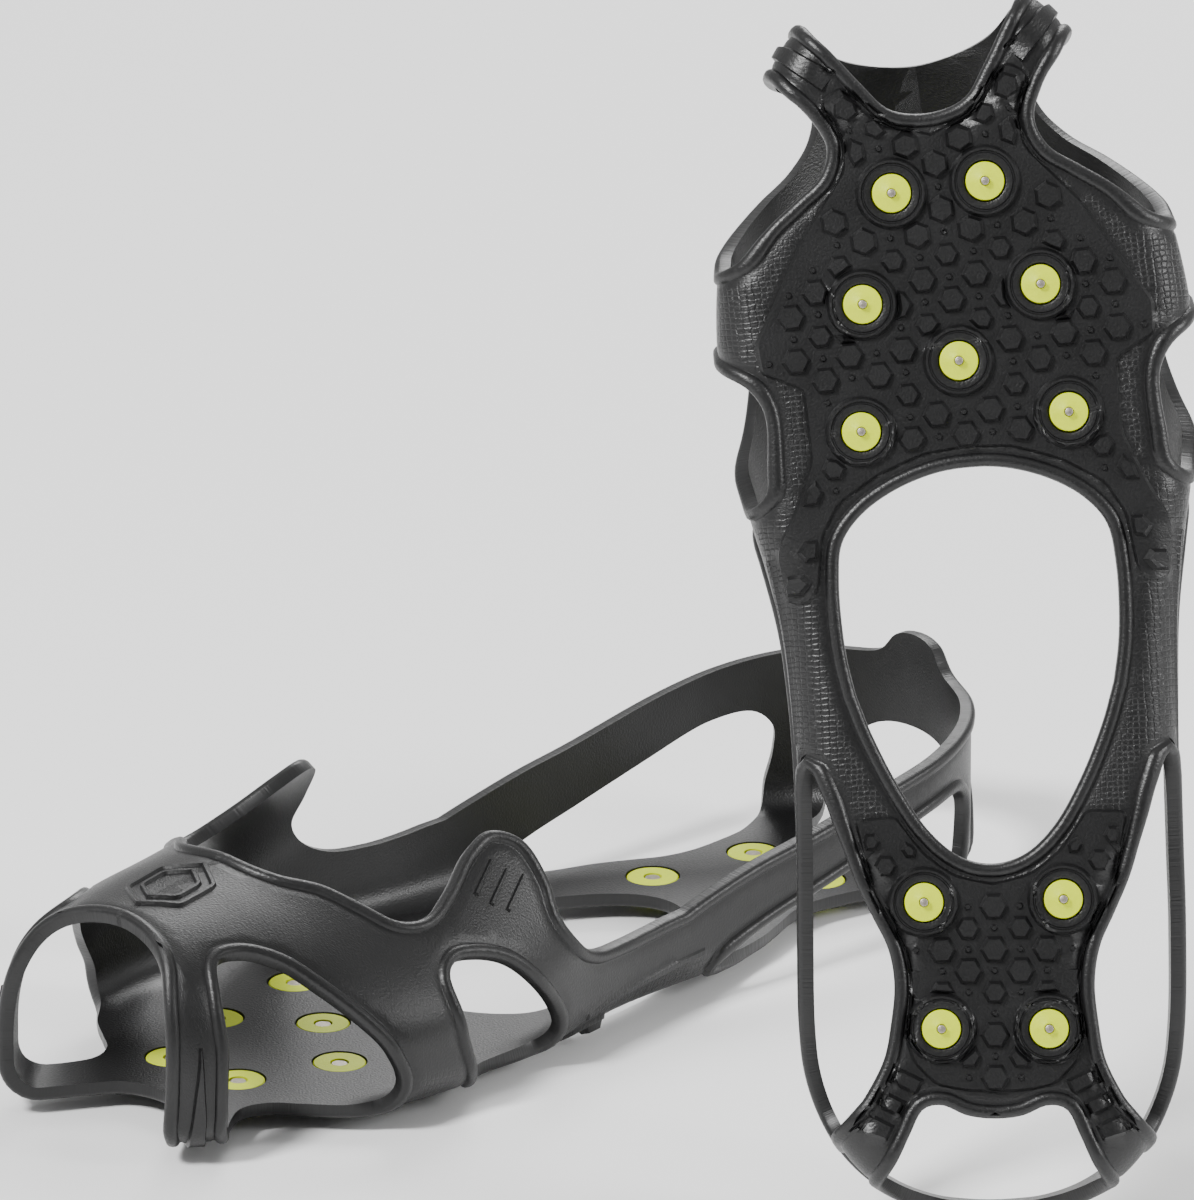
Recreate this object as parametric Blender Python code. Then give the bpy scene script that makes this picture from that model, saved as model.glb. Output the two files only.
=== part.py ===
"""A pair of slip-on ice cleats for boots: two stretch rubber harnesses, each with eleven studs.

Each harness is drawn as a flat pattern, like a shoemaker's: the sole lies in the middle and the walls and the
vamp are unrolled outwards from its edge. The pattern is cut into triangles there, wrapped round a simple boot
last, and given its thickness along the last's surface normals. Millimetres until the very end.
"""

from math import atan2, cos, pi, radians, sin

import bpy
import numpy as np
from mathutils import Matrix, Vector
from mathutils.geometry import delaunay_2d_cdt
from mathutils.kdtree import KDTree

# Driving dimensions, in millimetres. s runs sideways from the curved middle line, t runs forward from the heel.
MILLIMETRE = 0.001
SOLE_TOP = 8.0  # the boot's sole rests this high above the ground
MAT = 3.0  # thickness of the rubber
BEAD = 0.6  # rise of the rim round every opening
BEAD_WIDTH = 3.4
BOSS_RISE = 2.7
BOSS_RADIUS = 8.6
STUD_RADIUS = 5.0
STUD_FACE = 6.3  # the plastic's outer face, measured from the boot's sole
FLANGE_RADIUS = 7.0
FLANGE = 1.2
CLEARANCE = 0.3
PIN_RADIUS = 1.1
PIN_HEAD_RADIUS = 2.2
TOE_CURVE = 7.7  # sideways sweep of the middle line at the ball of the foot
STUDS = ((257.7, 11.9), (230.7, 22.6), (213.9, 0.0), (198.5, 26.3), (77.7, 17.6), (45.4, 13.6))
HEEL_FOCUS, TOE_FOCUS = 45.0, 291.0  # beyond these the pattern fans out round the heel and the toe
CORNER = 8.0  # radius between the boot's sole and its side
FLEX_AT, FLEX_HEIGHT = 130.0, 8.0  # where the arch bands bend
SPACING = 7.5

# The two cleats, as the pair stands: the right one on its studs, the left one upright with its sole in front.
YAW = 40.0
LEAN = 20.0
RIGHT_AT = (87.377, 142.8)
LEFT_AT = (101.977, -172.9)
LAY_AXIS = (20.0, 32.71)

# Inside outline of the boot, from the back of the heel to the tip of the toe: (s, t).
BOOT = (
    (0, 0), (14, 1.6), (25, 6), (33.5, 13), (39.5, 22), (43.5, 33), (45, 45), (45.3, 70), (45, 90), (45, 110),
    (45.6, 130), (47, 148), (50, 165), (53.2, 180), (56, 196), (57.4, 212), (57, 226), (55.3, 240), (52.5, 252),
    (48.7, 264), (43.8, 276), (38.5, 286), (35.5, 291), (31.5, 296.5), (26, 301.5), (14, 306.8), (0, 308.5),
)
# Height of the boot above its sole, height where its side starts to lean in, and how boxy it is: (t, value).
CROWN = ((0, 95), (150, 92), (170, 88), (190, 76), (212, 66), (230, 60), (249, 55), (265, 52.5), (291, 49))
WALL = ((0, 60), (100, 60), (150, 30), (190, 18), (240, 16), (265, 14), (291, 13))
FULLNESS = ((0, 0.4), (190, 0.3), (235, 0.34), (265, 0.5), (291, 0.62))

# Edges of the harness, as (s, t, height above the boot's sole).
TOE_EDGE = (
    (0, 276.5, 0), (9.5, 278.8, 0), (15.5, 286, 0), (21, 294, 0), (26, 300.5, 3), (27, 301, 12), (26, 300, 24),
    (24, 298, 36), (19, 294, 45), (11, 291.5, 49), (0, 290, 51),
)
COLLAR_EDGE = (
    (0, 249.5, 57), (9, 249, 54), (15.5, 246, 51.5), (22, 239, 48), (30, 233, 43), (37, 227, 39), (40, 219, 39.5),
    (38.5, 208, 45), (35.5, 196, 53), (34, 187, 55), (36, 179.5, 50), (41, 177, 39),
    (45.5, 177.5, 31),
    (47.3, 172, 24.5), (47.3, 164, 20.8), (46.5, 152, 19.6), (46, 140, 20), (45.7, 133.3, 20.6),
)
STRAP_TOP = (
    (45.6, 126.7, 20.9), (45.5, 119, 23), (45, 100, 27.5), (45, 80, 31), (45, 55, 36.5), (41.5, 27, 42),
    (30, 9, 45.5), (13, 1.5, 48), (7, 0.3, 54), (0, 0, 55.5),
)
REAR_EDGE = (
    (0, 0, 29), (13, 1.5, 27), (22, 4.5, 20), (26.5, 7, 11), (27, 8, 3.5), (25, 11, 0), (21.5, 18.5, 0),
    (18, 25, 0), (13.5, 26, 0), (7, 23.4, 0), (0, 22.6, 0),
)
ARCH_REAR = ((0, 87, 0), (8, 89, 0), (15.5, 95.5, 0), (23, 107.5, 0), (29.3, 121.5, 0), (31.7, 128.6, 0))
ARCH_FRONT = (
    (32.6, 131.4, 0), (34.2, 140, 0), (35, 149, 0), (35, 161, 0), (33.5, 170.5, 0), (28.5, 177, 0),
    (20, 182.5, 0), (9, 186.2, 0), (0, 187, 0),
)
# The arch bands part here, in a V that is tightest on the fold's own axis.
FRONT_CUT = ((32.6, 131.4, 0), (37.6, 131.4, 0), (43.2, 131, 2.4), (45.6, 130.4, FLEX_HEIGHT)), (
    (45.6, 130.4, FLEX_HEIGHT), (45.7, 133.3, 20.6))
REAR_CUT = ((31.7, 128.6, 0), (37.6, 128.6, 0), (43.2, 129, 2.4), (45.6, 129.6, FLEX_HEIGHT)), (
    (45.6, 129.6, FLEX_HEIGHT), (45.6, 126.7, 20.9))
SIDE_OPENING = (
    (26.5, 271.5, 0), (29.5, 279, 0), (34.5, 285.5, 0), (37, 288.5, 3), (38, 289, 12), (37, 288, 24),
    (34, 286, 37), (29, 281.5, 45), (31.5, 274.5, 46.5), (38, 267, 43.5), (45.5, 260.5, 35.5), (51.5, 253, 25),
    (54.5, 246.5, 15.5), (55.5, 243, 7.5), (52, 244.8, 0.4), (44, 253, 0), (36, 259, 0), (29, 264.5, 0),
)
BALL_OPENING = (
    (50, 206, 0), (50, 192, 0), (51, 184.5, 0.4), (53, 182, 5), (53.8, 184.5, 11), (55, 192, 19.5), (56, 201, 29),
    (56, 210, 34), (55.5, 217, 35), (56.5, 221.5, 31), (57, 220.5, 15), (56, 216.5, 5), (53, 212.5, 0.4),
)
HEEL_OPENING = (
    (43.5, 113, 3), (41.5, 105.5, 0), (39, 97.5, 0), (35, 84, 0), (30.5, 74, 0), (26.8, 66, 0), (25.3, 57, 0),
    (26.3, 46, 0), (28, 37.5, 0), (32.5, 28.5, 0), (37, 22.5, 0.6), (38.5, 20, 7), (37.5, 18, 16), (37.5, 18, 23),
    (40, 22.5, 27.5), (44, 35, 26.5), (45, 55, 20.5), (45, 80, 13.5), (45, 97, 9),
)


def smooth_value(knots, at):
    """Cubic interpolation through (place, value) knots, level beyond both ends."""
    place, value = np.array(knots, float).T
    slope = np.gradient(value, place)
    at = np.clip(at, place[0], place[-1])
    i = np.clip(np.searchsorted(place, at) - 1, 0, len(place) - 2)
    width = place[i + 1] - place[i]
    f = (at - place[i]) / width
    rise = value[i + 1] - value[i]
    ease = f * f * (3 - 2 * f)
    return value[i] + rise * ease + width * f * (1 - f) * ((1 - f) * slope[i] - f * slope[i + 1])


def catmull(points, closed, samples=12):
    """Smooth curve through points. An open one meets the mirror plane squarely at both ends."""
    points = np.array(points, float)
    mirror = np.array([-1] + [1] * (points.shape[1] - 1))
    if closed:
        ring = np.vstack([points[-1:], points, points[:2]])
    else:
        first = points[1] * mirror if abs(points[0][0]) < 1e-6 else 2 * points[0] - points[1]
        last = points[-2] * mirror if abs(points[-1][0]) < 1e-6 else 2 * points[-1] - points[-2]
        ring = np.vstack([first, points, last])
    curve = []
    for a, b, c, d in zip(ring, ring[1:], ring[2:], ring[3:]):
        gaps = [max(np.linalg.norm(q - p), 1e-6) for p, q in ((a, b), (b, c), (c, d))]
        knots = np.cumsum([0] + [gap**0.5 for gap in gaps])
        for f in np.arange(samples) / samples:
            k = knots[1] + f * (knots[2] - knots[1])
            spans = zip((a, b, c), (b, c, d), knots, knots[1:])
            mix = [p + (q - p) * (k - u) / (v - u) for p, q, u, v in spans]
            part = [(k - knots[i]) / (knots[i + 2] - knots[i]) for i in (0, 1)]
            pair = [mix[i] + (mix[i + 1] - mix[i]) * part[i] for i in (0, 1)]
            curve.append(pair[0] + (pair[1] - pair[0]) * f)
    if not closed:
        curve.append(points[-1])
    return np.array(curve)


def resample(curve, spacing, closed):
    """The same curve with evenly spaced points."""
    if closed:
        curve = np.vstack([curve, curve[:1]])
    run = np.concatenate([[0], np.cumsum(np.linalg.norm(np.diff(curve, axis=0), axis=1))])
    count = max(2, round(run[-1] / spacing))
    at = np.linspace(0, run[-1], count + 1)
    even = np.stack([np.interp(at, run, axis) for axis in curve.T], axis=1)
    return even[:-1] if closed else even


OUTLINE = catmull(BOOT, closed=False, samples=10)


def edge_distance(foot, angle):
    """Distance from the middle line to the boot's edge, straight out or fanned round the heel or the toe."""
    reach = np.interp(foot, OUTLINE[:, 1], OUTLINE[:, 0])
    for focus, turn in ((HEEL_FOCUS, angle < 0), (TOE_FOCUS, angle > 0)):
        offset = OUTLINE - (0, focus)
        around = np.arctan2(offset[:, 1], offset[:, 0])
        order = np.argsort(around)
        fanned = np.interp(angle, around[order], np.hypot(*offset.T)[order])
        reach = np.where(turn, fanned, reach)
    return reach


def girths(foot, angle):
    """Each section of the last as a row of distances from the middle line, heights and girths from the sole."""
    edge = edge_distance(foot, angle)[:, None]
    crown = smooth_value(CROWN, foot)[:, None]
    wall = np.maximum(smooth_value(WALL, foot), CORNER + 1)[:, None]
    full = smooth_value(FULLNESS, foot)[:, None]
    turn = np.linspace(0, pi / 2, 9)[None, :]
    f = np.linspace(0, 1, 33)[None, :]
    corner_out = edge - CORNER + CORNER * np.sin(turn)
    corner_up = 0 * edge + CORNER - CORNER * np.cos(turn)
    dome_out = edge * ((1 - f) ** 3 + 3 * f * (1 - f) ** 2 + 3 * f * f * (1 - f) * full)
    rise = 3 * f * (1 - f) ** 2 * full + 3 * f * f * (1 - f) + f**3
    dome_up = wall + (crown - wall) * rise
    out = np.hstack([0 * edge, corner_out, dome_out])
    up = np.hstack([0 * edge, corner_up, dome_up])
    girth = np.cumsum(np.hypot(np.diff(out), np.diff(up)), axis=1)
    return out, up, np.hstack([0 * edge, girth])


def fan(plan):
    """Foot on the middle line, direction and distance of plan points. Sideways is 0, the toe is positive."""
    foot = np.clip(plan[:, 1], HEEL_FOCUS, TOE_FOCUS)
    ahead = plan[:, 1] - foot
    return foot, np.arctan2(ahead, np.abs(plan[:, 0]) + 1e-12), np.hypot(plan[:, 0], ahead)


def straight_last(pattern):
    """Pattern points wrapped onto the last, before its middle line is curved."""
    foot, angle, reach = fan(pattern)
    out, up, girth = girths(foot, angle)
    total = girth[:, -1]
    past = reach > total
    reach = np.where(past, 2 * total - reach, reach)
    i = np.clip((girth <= reach[:, None]).sum(axis=1) - 1, 0, girth.shape[1] - 2)
    row = np.arange(len(reach))
    f = (reach - girth[row, i]) / np.maximum(girth[row, i + 1] - girth[row, i], 1e-9)
    away = out[row, i] + f * (out[row, i + 1] - out[row, i])
    height = up[row, i] + f * (up[row, i + 1] - up[row, i])
    side = np.where(pattern[:, 0] < 0, -1, 1) * np.where(past, -1, 1)
    return np.stack([side * away * np.cos(angle), foot + away * np.sin(angle), height], axis=1)


def unwrap(points):
    """Nearest pattern points of points on or near the straight last."""
    foot, angle, away = fan(points)
    out, up, girth = girths(foot, angle)
    step = np.stack([np.diff(out), np.diff(up)], axis=2)
    start = np.stack([out, up], axis=2)[:, :-1]
    offset = np.stack([away, points[:, 2]], axis=1)[:, None] - start
    f = np.clip((offset * step).sum(2) / np.maximum((step**2).sum(2), 1e-12), 0, 1)
    gap = np.linalg.norm(offset - f[..., None] * step, axis=2)
    i = np.argmin(gap, axis=1)
    row = np.arange(len(points))
    reach = girth[row, i] + f[row, i] * (girth[row, i + 1] - girth[row, i])
    return np.stack([reach * np.cos(angle), foot + reach * np.sin(angle)], axis=1)


def bent(points, side):
    """Curves the middle line inwards at the toe: to the wearer's left on a right cleat, side +1."""
    ahead = np.maximum(points[:, 1] - 40, 0) / 159
    shift = -TOE_CURVE * ahead**2
    slope = -2 * TOE_CURVE * ahead / 159
    length = np.hypot(1, slope)
    x = shift + points[:, 0] / length
    y = points[:, 1] - points[:, 0] * slope / length
    return np.stack([side * x, y, points[:, 2] + SOLE_TOP], axis=1)


def normals(pattern):
    """Unit normals of the straight last, pointing out of the boot."""
    step = 0.8
    along = [straight_last(pattern + d) - straight_last(pattern - d) for d in ((step, 0), (0, step))]
    out = -np.cross(*along)
    return out / np.linalg.norm(out, axis=1)[:, None]


def shifted(pattern, closed, distance):
    """A copy of an edge, moved into the rubber by a true distance on the last. The rubber is on its left."""
    if closed:
        ring = np.vstack([pattern[-1:], pattern, pattern[:1]])
    else:
        ring = np.vstack([2 * pattern[:1] - pattern[1:2], pattern, 2 * pattern[-1:] - pattern[-2:-1]])
    tangent = straight_last(ring[2:]) - straight_last(ring[:-2])
    steps = 3
    for _ in range(steps):
        left = np.cross(tangent, normals(pattern))
        left *= distance / steps / np.linalg.norm(left, axis=1)[:, None]
        pattern = unwrap(straight_last(pattern) + left)
    return pattern


def edge(*pieces, closed=False):
    """Pattern points of an edge that runs smoothly through each piece in turn."""
    curves = []
    for piece in pieces:
        on_last = straight_last(unwrap(np.array(piece, float)))
        curves.append(resample(catmull(on_last, closed), SPACING, closed))
    pattern = unwrap(np.vstack([curves[0]] + [curve[1:] for curve in curves[1:]]))
    pattern[np.abs(pattern[:, 0]) < 1e-6, 0] = 0
    return pattern


def circle(centre, radius, half=False):
    """Points round a stud, clockwise. Half of them, on the positive side, for a stud on the middle line."""
    sides = 12
    turns = np.arange(sides // 2 + 1 if half else sides) * 2 * pi / sides
    ring = np.stack([centre[0] + radius * np.sin(turns), centre[1] + radius * np.cos(turns)], axis=1)
    if half:
        ring[[0, -1], 0] = 0
    return ring


def top_seam(t):
    """Pattern place of the middle line over the top of the foot."""
    t = np.atleast_1d(np.asarray(t, float))
    return np.stack([girths(t, 0 * t)[2][:, -1], t], axis=1)


def on_seam(pattern, like):
    """Moves the ends of a line onto the mirror plane where the line that it follows ends there."""
    for end in (0, -1):
        if abs(like[end, 0]) < 1e-6:
            pattern[end, 0] = 0
        elif abs(straight_last(like[[end]])[0, 0]) < 1e-4:
            pattern[end] = top_seam(pattern[end, 1])[0]
    return pattern


def inside(points, border):
    """Which points lie inside the border, a list of closed loops, by counting crossings."""
    crossings = np.zeros(len(points), int)
    x, y = points.T
    for loop in border:
        for (ax, ay), (bx, by) in zip(loop, np.roll(loop, -1, axis=0)):
            if ay == by:
                continue
            crosses = (ay > y) != (by > y)
            crossings += crosses & (x < ax + (y - ay) * (bx - ax) / (by - ay))
    return crossings % 2 == 1


def clear_of(points, known, distance):
    """Which points keep their distance from all the known ones."""
    tree = KDTree(len(known))
    for i, point in enumerate(known):
        tree.insert((*point, 0), i)
    tree.balance()
    return np.array([tree.find((*point, 0))[2] > distance for point in points])


def fold_lines(border, known):
    """Lines along the rounded corner between sole and side, so that the triangles fold there and nowhere else."""
    outline = resample(OUTLINE, SPACING, closed=False)[1:-1]
    foot, angle, _ = fan(outline)
    way = np.stack([np.cos(angle), np.sin(angle)], axis=1)
    flat = edge_distance(foot, angle) - CORNER
    pieces = []
    for turn in (0, pi / 4, pi / 2):
        line = np.stack([0 * foot, foot], axis=1) + (flat + turn * CORNER)[:, None] * way
        keep = inside(line, border) & clear_of(line, known, 0.45 * SPACING)
        breaks = np.flatnonzero(~keep)
        for piece in np.split(np.arange(len(line)), breaks):
            piece = piece[keep[piece]]
            if len(piece):
                pieces.append(line[piece])
    return pieces


def spare_points(border, known):
    """Points that fill the curved parts of a pattern evenly, clear of its lines."""
    low, high = border[0].min(axis=0), border[0].max(axis=0)
    rows = np.arange(low[1], high[1], SPACING * 0.87)
    columns = [np.arange(low[0] + (k % 2) * SPACING / 2, high[0], SPACING) for k in range(len(rows))]
    grid = np.array([(x, y) for row, y in zip(columns, rows) for x in row])
    grid = grid[inside(grid, border)]
    grid = grid[straight_last(grid)[:, 2] > CORNER]
    return grid[clear_of(grid, known, 0.7 * SPACING)]


def triangulated(lines, border):
    """Cuts the pattern into triangles that follow its lines: points, heights, triangles, and each line's points."""
    plain = MAT if lines[0][1] else 0
    known = np.vstack([line[0] for line in lines])
    folds = fold_lines(border, known)
    spare = spare_points(border, np.vstack([known, *folds]))
    lines = [*lines, *((fold, plain, False) for fold in folds), (spare, plain, None)]
    vertices, edges, starts, heights = [], [], [], []
    for points, height, closed in lines:
        start = len(vertices)
        starts.append(start)
        vertices += [Vector(point) for point in points]
        heights += [height] * len(points)
        if closed is None:
            continue
        edges += [(start + i, start + i + 1) for i in range(len(points) - 1)]
        if closed:
            edges.append((start + len(points) - 1, start))
    found, _, faces, origin, _, _ = delaunay_2d_cdt(vertices, edges, [], 0, 1e-5)
    found = np.array([tuple(point) for point in found])
    faces = np.array([tuple(face) for face in faces])
    faces = faces[inside(found[faces].mean(axis=1), border)]
    level = np.array([heights[min(made)] if made else heights[-1] for made in origin])
    place = {first: i for i, made in enumerate(origin) for first in made}
    where = [[place[start + i] for i in range(len(line[0]))] for start, line in zip(starts, lines)]
    return found, level, faces, where


def seam_between(one, other, lines):
    """The stretch of mirror plane between two edges' ends, with every line that ends on it."""
    top = abs(one[0]) > 1e-6
    low, high = sorted((one[1], other[1]))
    ends = [line[0][end] for line in lines for end in (0, -1) if not line[2]]
    stops = {round(p[1], 6) for p in ends if (abs(p[0]) > 1e-6) == top and low < p[1] < high}
    if top:
        stops |= set(np.linspace(low, high, max(2, round((high - low) / SPACING)) + 1)[1:-1])
        between = top_seam([low, *sorted(stops), high])
    else:
        between = np.array([(0.0, t) for t in [low, *sorted(stops), high]])
    return between if one[1] < other[1] else between[::-1]


def half_harness(runs, holes, studs):
    """Points, heights and triangles of one side of a harness node: outer face, inner face and the edges between."""
    runs = list(runs)
    outer, inner = [], []
    for run, closed in [(run, False) for run in runs] + [(hole, True) for hole in holes]:
        rim = shifted(run, closed, BEAD_WIDTH)
        outer += [(run, MAT + BEAD, closed), (rim if closed else on_seam(rim, run), MAT, closed)]
        inner.append((run, 0, closed))
    walls = [(2 * i, i) for i in range(len(inner))]
    edges = list(runs)
    loops = list(holes)
    for t, s in studs:
        half = s == 0
        hole = circle((s, t), STUD_RADIUS + CLEARANCE, half)
        boss, foot = (circle((s, t), radius, half) for radius in (BOSS_RADIUS - 0.4, BOSS_RADIUS))
        seat, seat_edge = (circle((s, t), FLANGE_RADIUS + r, half) for r in (CLEARANCE, CLEARANCE + 0.1))
        walls.append((len(outer), len(inner)))
        top = MAT + BOSS_RISE
        outer += [(hole, top, not half), (boss, top, not half), (foot, MAT, not half)]
        inner += [(hole, FLANGE + CLEARANCE, not half), (seat, FLANGE + CLEARANCE, not half)]
        inner.append((seat_edge, 0, not half))
        if half:
            edges.insert(1, hole)
        else:
            loops.append(hole)
    skins = []
    for lines in (outer, inner):
        seams = [seam_between(a[-1], b[0], lines) for a, b in zip(edges, edges[1:] + edges[:1])]
        border = [np.vstack([piece for pair in zip(edges, seams) for piece in pair]), *loops]
        lines = [*lines, *((seam, lines[0][1] and MAT, False) for seam in seams)]
        skins.append(triangulated(lines, border))
    (outer_points, outer_level, outer_faces, outer_at), (points, level, faces, at) = skins
    count = len(outer_points)
    quads = []
    for i, k in walls:
        top, bottom = outer_at[i], [count + j for j in at[k]]
        if outer[i][2]:
            top, bottom = [*top, top[0]], [*bottom, bottom[0]]
        for a, b, c, d in zip(top, top[1:], bottom[1:], bottom):
            quads += [(a, b, c), (a, c, d)]
    pattern = np.vstack([outer_points, points])
    heights = np.concatenate([outer_level, level])
    return pattern, heights, [*map(tuple, outer_faces[:, ::-1]), *map(tuple, faces + count), *quads]


def harness_mesh(name, half, side):
    """Both sides of a harness node as one closed mesh, in metres."""
    pattern, heights, faces = half
    points = straight_last(pattern) + normals(pattern) * heights[:, None]
    middle = np.abs(straight_last(pattern)[:, 0]) < 1e-4
    points[middle, 0] = 0
    mirrored = points * (-1, 1, 1)
    twin = np.arange(len(points)) + np.where(middle, 0, len(points))
    faces = faces + [tuple(twin[list(face)][::-1]) for face in faces]
    points = bent(np.vstack([points, mirrored]), side)
    mesh = bpy.data.meshes.new(name)
    used = sorted({i for face in faces for i in face})
    order = {old: new for new, old in enumerate(used)}
    corners = [tuple(points[i] * MILLIMETRE) for i in used]
    mesh.from_pydata(corners, [], [tuple(order[i] for i in face[::side]) for face in faces])
    return mesh


def back(piece):
    """The same control points from the other end."""
    return tuple(reversed(piece))


def opening(points):
    """A closed edge with the rubber on its left, so it runs clockwise."""
    pattern = edge(points, closed=True)
    following = np.roll(pattern, -1, axis=0)
    turn = (pattern[:, 0] * following[:, 1] - following[:, 0] * pattern[:, 1]).sum()
    return pattern[::-1] if turn > 0 else pattern


def studs_of(front):
    """The studs of the forefoot or of the heel, as (t, s)."""
    return [stud for stud in STUDS if (stud[0] > FLEX_AT) == front]


def forefoot():
    """Half pattern of the sole's front, the vamp over the toes and the front half of the arch bands."""
    toe = edge(back(TOE_EDGE))
    arch = edge(back(ARCH_FRONT), *FRONT_CUT, back(COLLAR_EDGE))
    return half_harness([toe, arch], [opening(SIDE_OPENING), opening(BALL_OPENING)], studs_of(front=True))


def heel():
    """Half pattern of the heel pad, the heel strap and the rear half of the arch bands."""
    arch = edge(back(STRAP_TOP), *(back(piece) for piece in back(REAR_CUT)), back(ARCH_REAR))
    return half_harness([arch, edge(back(REAR_EDGE))], [opening(HEEL_OPENING)], studs_of(front=False))


def turned(name, profile, sides):
    """A round piece turned from (radius, distance below the boot's sole) points, as one closed mesh in metres."""
    rings, vertices, faces = [], [], []
    for radius, depth in profile:
        start = len(vertices)
        count = sides if radius else 1
        turns = [2 * pi * k / sides for k in range(count)]
        ring = [(radius * sin(a), radius * cos(a), -depth) for a in turns]
        vertices += [tuple(value * MILLIMETRE for value in point) for point in ring]
        rings.append([start + k % count for k in range(sides + 1)])
    pairs = list(zip(rings, rings[1:]))
    if profile[0][0]:
        pairs.append((rings[-1], rings[0]))
    for upper, lower in pairs:
        for a, b, c, d in zip(upper, upper[1:], lower[1:], lower):
            corners = list(dict.fromkeys((a, b, c, d)))
            if len(corners) > 2:
                faces.append(corners)
    mesh = bpy.data.meshes.new(name)
    mesh.from_pydata(vertices, [], faces)
    return mesh


def finished(mesh, material):
    """Gives a mesh its material and smooth shading with crisp edges."""
    mesh.materials.append(material)
    mesh.shade_smooth()
    mesh.set_sharp_from_angle(angle=radians(35))
    mesh.validate()


def material(name, colour, roughness, metallic=0.0):
    made = bpy.data.materials.new(name)
    made.use_nodes = True
    shader = made.node_tree.nodes["Principled BSDF"]
    shader.inputs["Base Color"].default_value = (*colour, 1)
    shader.inputs["Roughness"].default_value = roughness
    shader.inputs["Metallic"].default_value = metallic
    made.diffuse_color = (*colour, 1)
    return made


def place(name, data, parent, world):
    """Adds an object, or an empty if data is None, at its place in the world and ties it to its parent."""
    made = bpy.data.objects.new(name, data)
    bpy.context.scene.collection.objects.link(made)
    if parent:
        made.parent = parent
        made.matrix_parent_inverse = parent.matrix_world.inverted()
    made.matrix_basis = world
    if data is None:
        made.empty_display_size = 0.02
        bpy.context.view_layer.update()
    return made


def on_cleat(s, t, height, side):
    """Where a point of the straight last lies in its cleat's own frame, in metres, turned with the middle line."""
    point, ahead = bent(np.array([(s, t, height), (s, t + 0.1, height)], float), side)
    turn = atan2(point[0] - ahead[0], ahead[1] - point[1])
    return Matrix.Translation(point * MILLIMETRE) @ Matrix.Rotation(turn, 4, "Z")


def cleat(word, side, frame, front_axis, heel_axis):
    """Every piece of one cleat: the front ones follow front_axis and the rear ones follow heel_axis."""
    for name, half, axis in (("forefoot", forefoot(), front_axis), ("heel", heel(), heel_axis)):
        mesh = harness_mesh(f"{word}_{name}_harness", half, side)
        finished(mesh, RUBBER)
        place(f"{word}_{name}_harness", mesh, axis, frame)
    number = 0
    for t, half_gauge in STUDS:
        for s in dict.fromkeys((-half_gauge, half_gauge)):
            number += 1
            spot = frame @ on_cleat(s, t, 0, side)
            axis = front_axis if t > FLEX_AT else heel_axis
            place(f"{word}_stud_body_{number:02d}", STUD, axis, spot)
            place(f"{word}_stud_pin_{number:02d}", PIN, axis, spot)


for old in list(bpy.data.objects):
    bpy.data.objects.remove(old)

RUBBER = material("black_rubber", (0.018, 0.018, 0.019), 0.55)
PLASTIC = material("yellow_plastic", (0.775, 0.839, 0.072), 0.4)
STEEL = material("pin_steel", (0.42, 0.39, 0.35), 0.38, metallic=1.0)

NECK = PIN_HEAD_RADIUS + CLEARANCE
STUD = turned("stud_body", (
    (NECK, 0.2), (FLANGE_RADIUS, 0.2), (FLANGE_RADIUS, FLANGE), (STUD_RADIUS, FLANGE), (STUD_RADIUS, STUD_FACE),
    (PIN_RADIUS + CLEARANCE, STUD_FACE), (PIN_RADIUS + CLEARANCE, 2.0), (NECK, 2.0),
), sides=12)
finished(STUD, PLASTIC)
PIN = turned("stud_pin", (
    (0, 0.5), (PIN_HEAD_RADIUS, 0.5), (PIN_HEAD_RADIUS, 1.7), (PIN_RADIUS, 1.7), (PIN_RADIUS, SOLE_TOP - 0.3),
    (PIN_RADIUS - 0.3, SOLE_TOP), (0, SOLE_TOP),
), sides=8)
finished(PIN, STEEL)

# The right cleat stands on its studs.
right = Matrix.Translation((RIGHT_AT[0] * MILLIMETRE, RIGHT_AT[1] * MILLIMETRE, 0))
right @= Matrix.Rotation(radians(90 + YAW), 4, "Z")
right_root = place("right_cleat", None, None, right)
right_fold = place("right_arch_flex_axis", None, right_root, right @ on_cleat(0, FLEX_AT, FLEX_HEIGHT, side=1))
cleat("right", 1, right, right_root, right_fold)

# The left one leans back on its heel strap, and turns about an axis just above its heel when it is laid down.
tip, lift = LAY_AXIS
up, over = cos(radians(LEAN)), sin(radians(LEAN))
turn = Matrix(((-1, 0, 0), (0, over, up), (0, up, -over)))
left_at = Vector((LEFT_AT[0], LEFT_AT[1], lift * (1 + over) - tip * up))
left = Matrix.Translation(left_at * MILLIMETRE) @ turn.to_4x4()
axis_at = left @ Matrix.Translation((0, tip * MILLIMETRE, lift * MILLIMETRE))
left_lay = place("left_lay_down_axis", None, right_root, axis_at)
left_fold = place("left_arch_flex_axis", None, left_lay, left @ on_cleat(0, FLEX_AT, FLEX_HEIGHT, side=-1))
cleat("left", -1, left, left_fold, left_lay)
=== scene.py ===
"""The looks of a pair of slip-on ice cleats: moulded rubber harnesses, yellow studs and steel pins.

Each harness is drawn as a flat pattern, wrapped round the same boot last as the CAD model, and given the
rims, panels, lugs and ribs of the moulded rubber. Lengths are millimetres until they reach a mesh.
"""

from math import atan2, cos, pi, radians, sin

import bpy
import numpy as np
from mathutils import Matrix, Vector
from mathutils.geometry import delaunay_2d_cdt
from mathutils.kdtree import KDTree


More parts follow.
